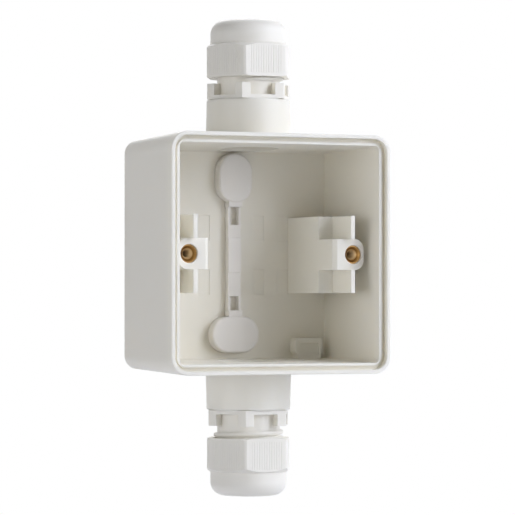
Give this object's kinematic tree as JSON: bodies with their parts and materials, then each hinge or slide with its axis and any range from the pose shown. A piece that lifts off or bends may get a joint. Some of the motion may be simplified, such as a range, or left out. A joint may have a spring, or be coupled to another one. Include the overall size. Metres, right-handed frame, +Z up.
{
  "type": "surface mount box",
  "caption": "Square open-fronted surface mount box for a wiring device, with insert lugs, a screw cover strip inside and a cable gland at top and bottom.",
  "frame": {"origin": "middle of the flat back, where the box meets the wall", "axes": "+Y into the wall, so the open front faces -Y; +Z up, along the two glands; +X to the right seen from the front"},
  "size_m": [0.08, 0.0446, 0.1606],
  "materials": {
    "box_plastic": "satin moulded off-white",
    "cover_plastic": "satin soft moulded off-white",
    "gland_plastic": "satin moulded white",
    "seal_rubber": "matt black",
    "insert_brass": "turned, slightly dull"
  },
  "bodies": {
    "box": {"box_body": "box_plastic", "threaded_inserts": "insert_brass", "screw_cover_strip": "cover_plastic", "upper_gland_body": "gland_plastic", "upper_gland_gasket": "seal_rubber", "lower_gland_body": "gland_plastic", "lower_gland_gasket": "seal_rubber"},
    "upper_clamp": {"upper_gland_claw": "gland_plastic", "upper_gland_seal": "seal_rubber"},
    "upper_nut": {"upper_gland_nut": "gland_plastic"},
    "lower_clamp": {"lower_gland_claw": "gland_plastic", "lower_gland_seal": "seal_rubber"},
    "lower_nut": {"lower_gland_nut": "gland_plastic"}
  },
  "joints": [
    {"name": "upper_clamp_travel", "type": "slide", "parent": "box", "child": "upper_clamp", "axis": [0, 0, 1], "range_m": [-0.0019, 0.0056]},
    {"name": "upper_nut_spin", "type": "hinge", "parent": "upper_clamp", "child": "upper_nut", "pos_m": [0, -0.0169, 0.0598], "axis": [0, 0, 1], "range_deg": [-342, 1008]},
    {"name": "lower_clamp_travel", "type": "slide", "parent": "box", "child": "lower_clamp", "axis": [0, 0, -1], "range_m": [-0.0039, 0.0036]},
    {"name": "lower_nut_spin", "type": "hinge", "parent": "lower_clamp", "child": "lower_nut", "pos_m": [0, -0.0169, -0.0618], "axis": [0, 0, -1], "range_deg": [-702, 648]}
  ],
  "couplings": [
    {"joint": "upper_clamp_travel", "follows": "upper_nut_spin", "m_per_rad": 0.0003183},
    {"joint": "lower_clamp_travel", "follows": "lower_nut_spin", "m_per_rad": 0.0003183}
  ]
}
